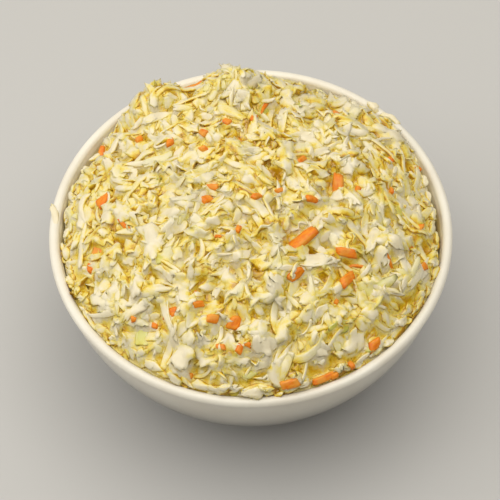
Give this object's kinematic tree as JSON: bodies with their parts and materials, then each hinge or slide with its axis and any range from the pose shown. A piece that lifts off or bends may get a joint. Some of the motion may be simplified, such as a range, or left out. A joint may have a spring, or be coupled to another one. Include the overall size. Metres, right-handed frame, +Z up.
{
  "type": "bowl of coleslaw",
  "caption": "Round off-white bowl with a rolled lip, heaped with chopped coleslaw of cabbage shreds, leaf pieces, rib chunks and carrot sticks in a creamy dressing.",
  "frame": {"origin": "centre of the bowl's foot, on the surface that it stands on", "axes": "+Z up, -Y the side shown in front in the picture, +X to the right of it"},
  "size_m": [0.13, 0.13, 0.0831],
  "materials": {
    "glaze": "smooth off-white glaze, softly glossy",
    "slaw": "moist chopped cabbage and carrot, coated in a thin creamy dressing"
  },
  "bodies": {
    "root": {"bowl": "glaze", "coleslaw": "slaw"}
  },
  "joints": []
}
